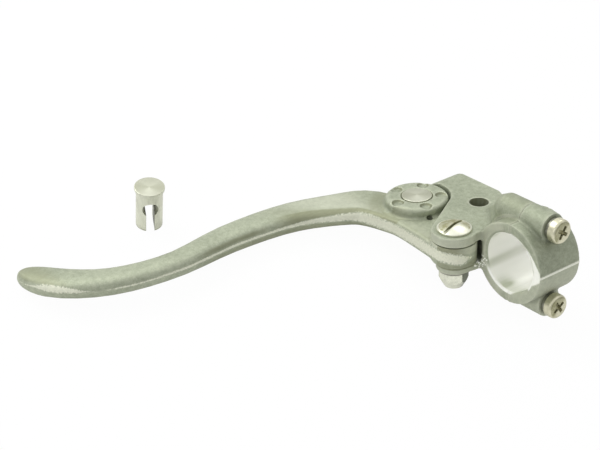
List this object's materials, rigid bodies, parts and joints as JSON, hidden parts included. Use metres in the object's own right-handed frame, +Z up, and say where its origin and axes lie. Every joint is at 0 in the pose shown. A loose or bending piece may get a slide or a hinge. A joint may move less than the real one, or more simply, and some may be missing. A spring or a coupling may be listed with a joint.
{
  "type": "motorcycle clutch lever",
  "caption": "Cast clutch lever with a dog-leg blade, pivoting in a forked perch that clamps on a handlebar, with a swivelling barrel for the cable.",
  "frame": {"origin": "middle of the handlebar bore, halfway along the clamp", "axes": "+X along the handlebar towards its middle, +Y forward from the rider, +Z up along the lever's pivot"},
  "size_m": [0.1826, 0.1471, 0.045],
  "materials": {
    "cast_body": "raw die cast, satin",
    "cast_lever": "raw die cast, fettled along the parting line",
    "nickel_screw": "bright nickel plate",
    "spring_washer": "zinc plate",
    "bronze": "sintered bronze",
    "turned_barrel": "turned, fine rings"
  },
  "bodies": {
    "perch": {"bracket": "cast_body", "clamp_cap": "cast_body", "upper_clamp_screw": "nickel_screw", "lower_clamp_screw": "nickel_screw", "upper_lock_washer": "spring_washer", "lower_lock_washer": "spring_washer", "pivot_screw": "nickel_screw", "pivot_nut": "nickel_screw", "pivot_washer": "spring_washer", "upper_thrust_washer": "bronze", "lower_thrust_washer": "bronze", "spare_barrel": "turned_barrel"},
    "lever": {"lever": "cast_lever", "pivot_bush": "bronze"},
    "barrel": {"cable_barrel": "turned_barrel"}
  },
  "joints": [
    {"name": "lever_pull", "type": "hinge", "parent": "perch", "child": "lever", "pos_m": [-0.0181, 0.0232, 0], "axis": [0, 0, 1], "range_deg": [0, 26]},
    {"name": "barrel_turn", "type": "hinge", "parent": "lever", "child": "barrel", "pos_m": [-0.0088, 0.0558, 0], "axis": [0, 0, 1], "continuous": true}
  ]
}
